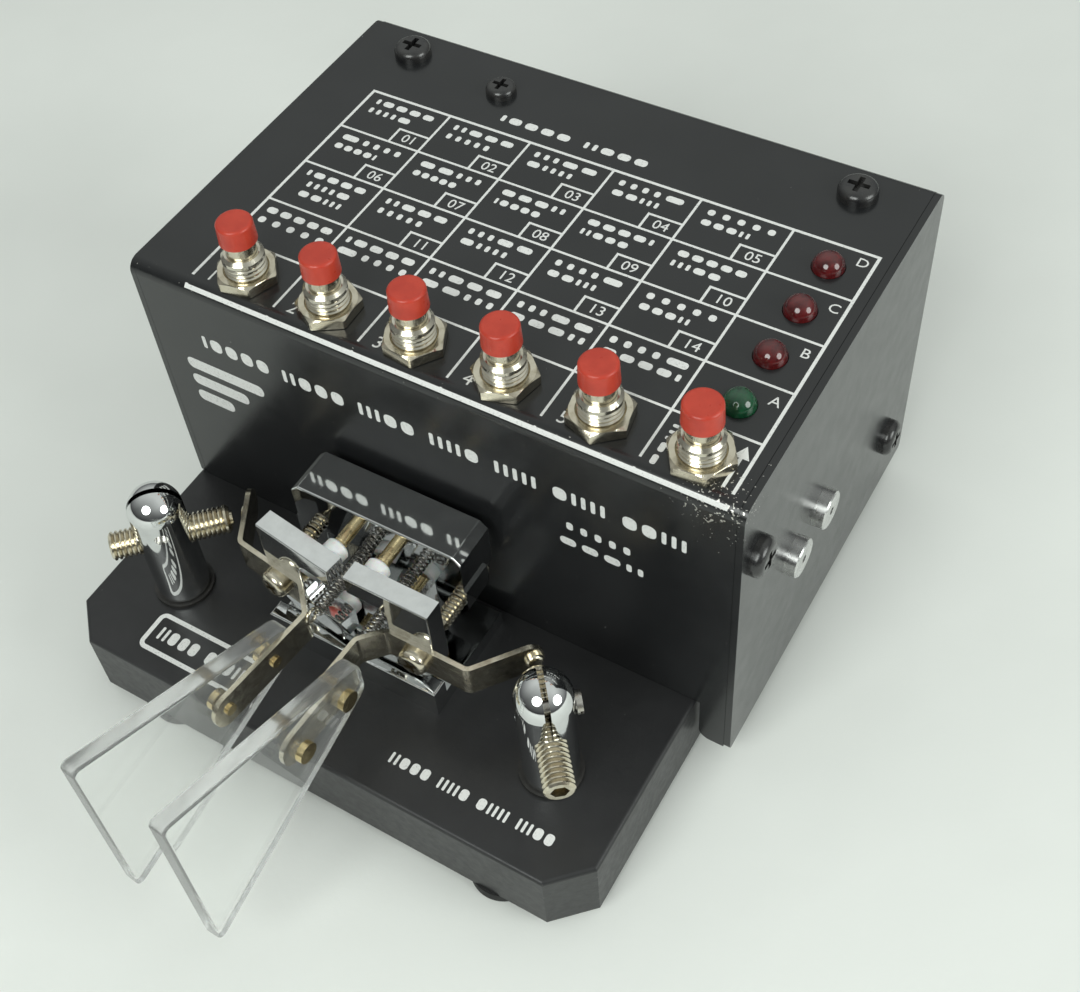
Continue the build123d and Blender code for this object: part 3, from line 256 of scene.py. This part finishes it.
MATERIALS = {
    "box_paint": box_paint(),
    "base_paint": base_paint(),
    "foot_rubber": plastic(
        "foot_rubber", (0.012, 0.012, 0.012), (0.022, 0.022, 0.022), 0.7, 0.85, 0.5, 0.03
    ),
    "black_screw": plastic(
        "black_screw", (0.012, 0.012, 0.013), (0.028, 0.027, 0.026), 0.18, 0.34, 0.3, 0.006,
        Specular_IOR_Level=0.7,
    ),
    "steel_screw": plated("steel_screw", (0.42, 0.41, 0.38), (0.62, 0.60, 0.56), 0.22, 0.38, 0.5),
    "chrome": plated(
        "chrome", (0.68, 0.69, 0.69), (0.77, 0.78, 0.78), 0.03, 0.075, 0.08, (0.45, 0.43, 0.40)
    ),
    "nickel": plated("nickel", (0.60, 0.54, 0.42), (0.74, 0.69, 0.57), 0.14, 0.27, 0.45),
    "brass": plated("brass", (0.66, 0.52, 0.27), (0.82, 0.68, 0.40), 0.15, 0.28, 0.35, (0.36, 0.26, 0.12)),
    "nylon": plastic(
        "nylon", (0.66, 0.66, 0.65), (0.80, 0.80, 0.79), 0.32, 0.45,
        Subsurface_Weight=0.3, Subsurface_Scale=0.001,
    ),
    "clear_plastic": acrylic(),
    "red_cap": plastic(
        "red_cap", (0.44, 0.036, 0.018), (0.51, 0.048, 0.024), 0.27, 0.40, 0.35, 0.005,
        Subsurface_Weight=0.12, Subsurface_Scale=0.0012,
    ),
    "red_lens": lens("red_lens", (0.055, 0.004, 0.005), (0.11, 0.008, 0.009)),
    "green_lens": lens("green_lens", (0.004, 0.045, 0.018), (0.008, 0.085, 0.032)),
    "board": plastic("board", (0.02, 0.10, 0.04), (0.03, 0.14, 0.06), 0.3, 0.5),
    "black_plastic": plastic("black_plastic", (0.014, 0.014, 0.014), (0.024, 0.024, 0.024), 0.4, 0.6),
    "switch_metal": plated("switch_metal", (0.60, 0.56, 0.46), (0.76, 0.72, 0.62), 0.12, 0.26, 0.35),
    "battery_skin": plastic("battery_skin", (0.03, 0.03, 0.035), (0.05, 0.05, 0.055), 0.3, 0.45),
    # dark spring steel, made darker partly as painted shade where the springs sit between the lever plates
    # and the bar
    "spring_wire": plated("spring_wire", (0.22, 0.21, 0.20), (0.34, 0.33, 0.31), 0.18, 0.28, 0.3),
    "boss_metal": plated(
        "boss_metal", (0.62, 0.62, 0.61), (0.78, 0.78, 0.77), 0.20, 0.34, 0.15, (0.4, 0.39, 0.36)
    ),
    "insulator": plastic("insulator", (0.014, 0.013, 0.012), (0.03, 0.028, 0.026), 0.5, 0.7, 0.3, 0.01),
}
INK = print_ink()

# ---------------------------------------------------------------- finishes on the CAD nodes
for entry in frame["record"]["subparts"]:
    obj = nodes[entry["node"]]
    obj.data.materials.clear()
    obj.data.materials.append(MATERIALS[entry["material_slot"]])

# ---------------------------------------------------------------- mesh helpers
def make(name, mesh_builder, material, body):
    """A new piece from a bmesh, riding on a body."""
    bm = bmesh.new()
    mesh_builder(bm)
    bmesh.ops.recalc_face_normals(bm, faces=bm.faces)
    data = bpy.data.meshes.new(name)
    bm.to_mesh(data)
    bm.free()
    obj = bpy.data.objects.new(name, data)
    scene.collection.objects.link(obj)
    data.materials.append(material)
    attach(obj, body)
    return obj


INK_LIFT = 0.005 * MM
INK_THICK = 0.03 * MM


def top_skin(x, back, lift):
    """A point over the box top, back from the box front, following the bend at the front edge. In mm in."""
    r = BEND + lift
    if back * MM >= BEND:
        return Vector((x * MM, FRONT_Y + back * MM, TOP_Z + lift))
    over = (BEND - back * MM) / BEND
    angle = math.asin(min(over, 1.0))
    return Vector((x * MM, FRONT_Y + BEND - r * math.sin(angle), TOP_Z - BEND + r * math.cos(angle)))


def front_skin(x, z, lift):
    return Vector((x * MM, FRONT_Y - lift, z * MM))


def base_skin(x, back, lift):
    return Vector((x * MM, FRONT_Y + back * MM, BASE_Z + lift))


def ink_patch(bm, skin, outline):
    """One closed flake of ink: outline is a list of (u, v) on the skin."""
    low = [bm.verts.new(skin(u, v, INK_LIFT)) for u, v in outline]
    high = [bm.verts.new(skin(u, v, INK_LIFT + INK_THICK)) for u, v in outline]
    bm.faces.new(list(reversed(low)))
    bm.faces.new(high)
    for i in range(len(outline)):
        j = (i + 1) % len(outline)
        bm.faces.new([low[i], low[j], high[j], high[i]])


def ink_bar(bm, skin, u0, u1, v0, v1, steps=1):
    """A rectangle of ink, cut along v so that it can follow a bend."""
    for k in range(steps):
        a = v0 + (v1 - v0) * k / steps
        b = v0 + (v1 - v0) * (k + 1) / steps
        ink_patch(bm, skin, [(u0, a), (u1, a), (u1, b), (u0, b)])


def pill(cu, cv, length, height, steps=4):
    """Outline of a mark with rounded corners."""
    r = 0.42 * min(length, height)
    half_u = length / 2 - r
    half_v = height / 2 - r
    points = []
    for su, sv, start in ((1, -1, -90.0), (1, 1, 0.0), (-1, 1, 90.0), (-1, -1, 180.0)):
        for k in range(steps + 1):
            a = math.radians(start + 90.0 * k / steps)
            points.append((cu + su * half_u + r * math.cos(a), cv + sv * half_v + r * math.sin(a)))
    return points


# Digits 0 to 9 as short and long marks.
MARK_UNITS = {".": 0.75, "-": 2.3, " ": 1.2}
MARK_GAP = 0.85
DIGIT_MARKS = ["-----", ".----", "..---", "...--", "....-", ".....", "-....", "--...", "---..", "----."]


def mark_row(bm, skin, cu, cv, width, height, digits, turn=0.0):
    """A centred row of short and long marks for some digits, filling the given width."""
    marks = " ".join(DIGIT_MARKS[int(d)] for d in digits)
    units = sum(MARK_UNITS[m] for m in marks) + MARK_GAP * (len(marks) - 1)
    unit = width / units
    at = -width / 2
    ct, st = math.cos(math.radians(turn)), math.sin(math.radians(turn))
    for m in marks:
        length = MARK_UNITS[m] * unit
        if m != " ":
            shape = pill(at + length / 2, 0.0, length, height)
            ink_patch(bm, skin, [(cu + u * ct - v * st, cv + u * st + v * ct) for u, v in shape])
        at += length + MARK_GAP * unit


def text_piece(name, text, size, place, body="base"):
    """A plain letter or number in ink on the box, as a mesh put where its 4x4 matrix says."""
    curve = bpy.data.curves.new(name, "FONT")
    curve.body = text
    curve.size = size * MM
    curve.extrude = INK_THICK / 2
    curve.align_x = "CENTER"
    curve.align_y = "CENTER"
    curve.resolution_u = 3
    source = bpy.data.objects.new(name + "_source", curve)
    scene.collection.objects.link(source)
    bpy.context.view_layer.update()
    data = bpy.data.meshes.new_from_object(source)
    bpy.data.objects.remove(source)
    data.transform(place)
    data.name = name
    obj = bpy.data.objects.new(name, data)
    scene.collection.objects.link(obj)
    data.materials.clear()
    data.materials.append(INK)
    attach(obj, body)
    return obj


def on_top(x, back):
    return Matrix.Translation((x * MM, FRONT_Y + back * MM, TOP_Z + INK_LIFT + INK_THICK / 2))


# ---------------------------------------------------------------- screen print
COLUMNS = [-41.3, -25.9, -10.5, 4.9, 20.3, 35.7, 49.4]
ROWS = [0.6, 11.8, 21.9, 31.9, 41.9, 51.9]
LINE = 0.4
BORDER = 0.5


def grid(bm):
    for i, back in enumerate(ROWS):
        half = (BORDER if i in (0, len(ROWS) - 1) else LINE) / 2
        left = COLUMNS[0] - BORDER / 2
        right = COLUMNS[-1] + BORDER / 2
        ink_bar(bm, top_skin, left, right, back - half, back + half, 4 if i == 0 else 1)
    for j, x in enumerate(COLUMNS):
        half = (BORDER if j in (0, len(COLUMNS) - 1) else LINE) / 2
        for i in range(len(ROWS) - 1):
            low = ROWS[i] + (BORDER if i == 0 else LINE) / 2
            high = ROWS[i + 1] - (BORDER if i == len(ROWS) - 2 else LINE) / 2
            ink_bar(bm, top_skin, x - half, x + half, low, high, 6 if i == 0 else 1)
    # small boxes in the lower right of the cells
    for row in (2, 3, 4):
        for column in range(5):
            if (row, column) == (2, 0):
                continue
            right = COLUMNS[column + 1] - LINE / 2
            low = ROWS[row] + LINE / 2
            ink_bar(bm, top_skin, right - 5.4, right, low + 3.1, low + 3.5)
            ink_bar(bm, top_skin, right - 5.8, right - 5.4, low, low + 3.5)


make("print_grid", grid, INK, "base")


def legends(bm):
    number = 1
    for row in (4, 3, 2):
        for column in range(5):
            middle = (COLUMNS[column] + COLUMNS[column + 1]) / 2
            back = ROWS[row + 1]
            lines = 3 if (row, column) == (2, 0) else 2
            for k in range(lines):
                digit = (number + 3 * k) % 10
                width = 11.2 if k == 0 else 8.0
                shift = 0.0 if lines == 3 or k == 0 else -1.6
                mark_row(bm, top_skin, middle + shift, back - 2.1 - 2.35 * k, width, 1.25, str(digit))
            number += 1
    for column in range(5):
        middle = (COLUMNS[column] + COLUMNS[column + 1]) / 2
        for k in range(2):
            mark_row(bm, top_skin, middle, ROWS[2] - 2.2 - 2.4 * k, 12.4, 1.3, str((column + 5 * k) % 10))
    mark_row(bm, top_skin, -4.5, 55.3, 27.0, 1.5, "12")


make("print_legends", legends, INK, "base")

number = 1
for row in (4, 3, 2):
    for column in range(5):
        if (row, column) != (2, 0):
            right = COLUMNS[column + 1] - LINE / 2
            place = on_top(right - 2.7, ROWS[row] + 1.75)
            text_piece(f"print_number_{number:02d}", f"{number:02d}", 2.7, place)
            number += 1
for column in range(5):
    x = COLUMNS[column] + 2.9
    text_piece(f"print_key_{column + 1}", str(column + 1), 3.2, on_top(x, 3.6))
for letter, back in zip("ABCD", (20.0, 30.0, 39.9, 50.3)):
    text_piece(f"print_lamp_{letter}", letter, 2.6, on_top(47.6, back - 0.6))


def arrow(bm):
    """Up arrow beside the last button, and a column of marks on its other side."""
    ink_patch(bm, top_skin, [(46.5, 8.4), (48.9, 8.4), (47.7, 10.6)])
    ink_bar(bm, top_skin, 47.45, 47.95, 3.0, 8.4, 3)
    mark_row(bm, top_skin, 37.6, 5.9, 7.6, 0.9, "3", turn=-90.0)


make("print_arrow", arrow, INK, "base")


def front_title(bm):
    mark_row(bm, front_skin, 1.6, 55.6, 85.0, 2.7, "1234567")
    # three solid bars, each shorter than the one before
    for k, reach in enumerate((15.5, 11.5, 7.5)):
        z = 48.6 - 4.0 * k
        ink_patch(bm, front_skin, pill(-46.0 + reach / 2, z, reach, 2.5))
    mark_row(bm, front_skin, 30.0, 48.6, 10.5, 1.7, "5")
    mark_row(bm, front_skin, 30.4, 44.6, 13.8, 1.7, "8")


make("print_front", front_title, INK, "base")


def base_marks(bm):
    left, right, low, high = -39.2, -18.2, -34.3, -27.0
    radius, line = 1.4, 0.8
    outer = []
    inner = []
    for cu, cv, start in (
        (right - radius, high - radius, 0), (left + radius, high - radius, 90),
        (left + radius, low + radius, 180), (right - radius, low + radius, 270),
    ):
        for k in range(6):
            a = math.radians(start + 18.0 * k)
            outer.append((cu + radius * math.cos(a), cv + radius * math.sin(a)))
            inner.append((cu + (radius - line) * math.cos(a), cv + (radius - line) * math.sin(a)))
    count = len(outer)
    for i in range(count):
        j = (i + 1) % count
        ink_patch(bm, base_skin, [outer[i], outer[j], inner[j], inner[i]])
    mark_row(bm, base_skin, -28.7, -30.6, 16.8, 2.4, "27")
    mark_row(bm, base_skin, 24.0, -31.0, 29.0, 1.9, "2463")


make("print_base", base_marks, INK, "base")

# ---------------------------------------------------------------- button nuts with chamfered corners
NUT_LOW, NUT_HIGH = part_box("switch_nuts")
BUTTON_XS = [sum(c.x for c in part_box(f"push_cap_{n}")) / 2 for n in range(1, 7)]
BUTTON_Y = sum(c.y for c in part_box("push_cap_1")) / 2


def ring_stack(bm, centre, rings, count, close_ends=False):
    """Loops of points joined up: rings is a list of functions angle -> (radius, z)."""
    loops = []
    for ring in rings:
        loop = []
        for k in range(count):
            a = 2 * math.pi * k / count
            radius, z = ring(a)
            x = centre[0] + radius * math.cos(a)
            y = centre[1] + radius * math.sin(a)
            loop.append(bm.verts.new((x, y, z)))
        loops.append(loop)
    pairs = list(zip(loops, loops[1:]))
    if not close_ends:
        pairs.append((loops[-1], loops[0]))
    for lower, upper in pairs:
        for k in range(count):
            m = (k + 1) % count
            bm.faces.new([lower[k], lower[m], upper[m], upper[k]])


def nuts(bm):
    flat = 4.45 * MM
    bore = 3.32 * MM
    top, low = NUT_HIGH.z, NUT_LOW.z
    for n, x in enumerate(BUTTON_XS):
        turn = math.radians(9 + 23 * n)

        def hexagon(a, turn=turn):
            off = (a - turn) % (math.pi / 3) - math.pi / 6
            return flat / math.cos(off)

        def crown(a, turn=turn):
            """Height lost at the corners to the chamfer."""
            return max(0.0, hexagon(a, turn) - flat * 1.02) * 0.55

        rings = [
            lambda a: (bore, low),
            lambda a, h=hexagon: (h(a) - 0.15 * MM, low),
            lambda a, h=hexagon: (h(a), low + 0.15 * MM),
            lambda a, h=hexagon, c=crown: (h(a), top - 0.12 * MM - c(a)),
            lambda a, h=hexagon: (min(h(a), flat * 1.02) - 0.08 * MM, top),
            lambda a: (bore + 0.25 * MM, top),
            lambda a: (bore, top - 0.2 * MM),
        ]
        ring_stack(bm, (x, BUTTON_Y), rings, 96)


nut_piece = make("button_nuts", nuts, MATERIALS["nickel"], "base")
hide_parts("switch_nuts")

# ---------------------------------------------------------------- lever springs
def wire_piece(name, points, radius, material, body):
    """A round wire along points, closed at both ends."""
    curve = bpy.data.curves.new(name, "CURVE")
    curve.dimensions = "3D"
    curve.bevel_depth = radius
    curve.bevel_resolution = 3
    curve.use_fill_caps = True
    spline = curve.splines.new("POLY")
    spline.points.add(len(points) - 1)
    for p, q in zip(spline.points, points):
        p.co = (*q, 1.0)
    source = bpy.data.objects.new(name + "_source", curve)
    scene.collection.objects.link(source)
    bpy.context.view_layer.update()
    data = bpy.data.meshes.new_from_object(source)
    bpy.data.objects.remove(source)
    data.name = name
    data.shade_smooth()
    obj = bpy.data.objects.new(name, data)
    scene.collection.objects.link(obj)
    data.materials.clear()
    data.materials.append(material)
    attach(obj, body)
    return obj


SPRING_WIRE = 0.19 * MM
SPRING_TURNS = 16
HOOK_TURN = 112.0
for side in ("left", "right"):
    low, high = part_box(f"{side}_lever_spring")
    axis_x = (low.x + high.x) / 2
    axis_z = (low.z + high.z) / 2
    radius = (high.z - low.z) / 2 - SPRING_WIRE - 0.01 * MM
    coil_start = high.y - SPRING_WIRE
    coil_end = low.y + radius + SPRING_WIRE + 0.01 * MM
    steps = SPRING_TURNS * 20
    points = []
    for k in range(steps + 1):
        t = k / steps
        a = 2 * math.pi * SPRING_TURNS * t
        y = coil_start + (coil_end - coil_start) * t
        points.append(Vector((axis_x + radius * math.cos(a), y, axis_z + radius * math.sin(a))))
    for k in range(1, 9):
        a = math.radians(HOOK_TURN) * k / 8
        points.append(Vector((axis_x + radius * math.cos(a), coil_end - radius * math.sin(a), axis_z)))
    # the spring steel's dark colour is partly painted shade between the lever plates and the bar
    wire = wire_piece(
        f"{side}_spring_coil", points, SPRING_WIRE, MATERIALS["spring_wire"], "base"
    )
    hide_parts(f"{side}_lever_spring")

# ---------------------------------------------------------------- floor, light and camera
floor_surface = Surface("floor_pale", (0.78, 0.79, 0.73), 0.85)
floor_surface.mottle((0.76, 0.775, 0.745), (0.795, 0.81, 0.78), 60.0)
floor_surface.bump((floor_surface.noise(35.0, 3.0), 0.4), (floor_surface.noise(1.2, 2.0), 0.02))


def floor_mesh(bm):
    bmesh.ops.create_grid(bm, x_segments=8, y_segments=8, size=3.0)


bm = bmesh.new()
floor_mesh(bm)
floor_data = bpy.data.meshes.new("floor")
bm.to_mesh(floor_data)
bm.free()
floor_data.materials.append(floor_surface.material)
floor_object = bpy.data.objects.new("floor", floor_data)
scene.collection.objects.link(floor_object)

world = bpy.data.worlds.new("studio")
world.use_nodes = True
sky = world.node_tree.nodes
sky_links = world.node_tree.links
direction = sky.new("ShaderNodeTexCoord")
split = sky.new("ShaderNodeSeparateXYZ")
height = sky.new("ShaderNodeValToRGB")
height.color_ramp.elements[0].position = 0.0
height.color_ramp.elements[0].color = (0.16, 0.165, 0.17, 1.0)
height.color_ramp.elements[1].position = 0.75
height.color_ramp.elements[1].color = (0.915, 0.965, 0.93, 1.0)
sky_links.new(direction.outputs["Generated"], split.inputs[0])
sky_links.new(split.outputs["Z"], height.inputs[0])
sky_links.new(height.outputs["Color"], sky["Background"].inputs["Color"])
# the room is darker in front, behind the camera
front = sky.new("ShaderNodeMapRange")
front.inputs["From Min"].default_value = -0.7
front.inputs["From Max"].default_value = 0.2
front.inputs["To Min"].default_value = 0.28
front.inputs["To Max"].default_value = 0.76
sky_links.new(split.outputs["Y"], front.inputs["Value"])
sky_links.new(front.outputs[0], sky["Background"].inputs["Strength"])
scene.world = world


def area_light(name, place, target, width, height, power, colour=(1.0, 1.0, 1.0)):
    data = bpy.data.lights.new(name, "AREA")
    data.shape = "ELLIPSE"
    data.size = width
    data.size_y = height
    data.energy = power
    data.color = colour
    obj = bpy.data.objects.new(name, data)
    scene.collection.objects.link(obj)
    obj.location = place
    aim = Vector(target) - Vector(place)
    obj.rotation_euler = aim.to_track_quat("-Z", "Y").to_euler()
    return obj


area_light("lamp_front", (0.008, -0.616, 0.592), (0.0, 0.0, 0.03), 0.50, 0.50, 4.1, (0.95, 1.0, 0.965))
area_light("lamp_right", (0.77, 0.03, 0.40), (0.0, 0.0, 0.03), 0.50, 0.50, 3.2, (0.95, 1.0, 0.965))

camera_data = bpy.data.cameras.new("photo_camera")
camera_data.sensor_fit = "HORIZONTAL"
camera_data.sensor_width = 36.0
camera_data.lens = 51.73
camera_data.shift_x = 0.0222
camera_data.shift_y = -0.0741
camera_data.clip_start = 0.01
camera_data.clip_end = 20.0
camera = bpy.data.objects.new("photo_camera", camera_data)
scene.collection.objects.link(camera)
right = Vector((0.85566, 0.51258, -0.07146))
down = Vector((0.35136, -0.67673, -0.64698))
forward = Vector((-0.37999, 0.52849, -0.75915))
turn = Matrix((right, -down, -forward)).transposed().to_4x4()
camera.matrix_world = Matrix.Translation((0.09850, -0.11603, 0.23026)) @ turn
bpy.context.scene.camera = camera

scene.view_settings.view_transform = "Standard"
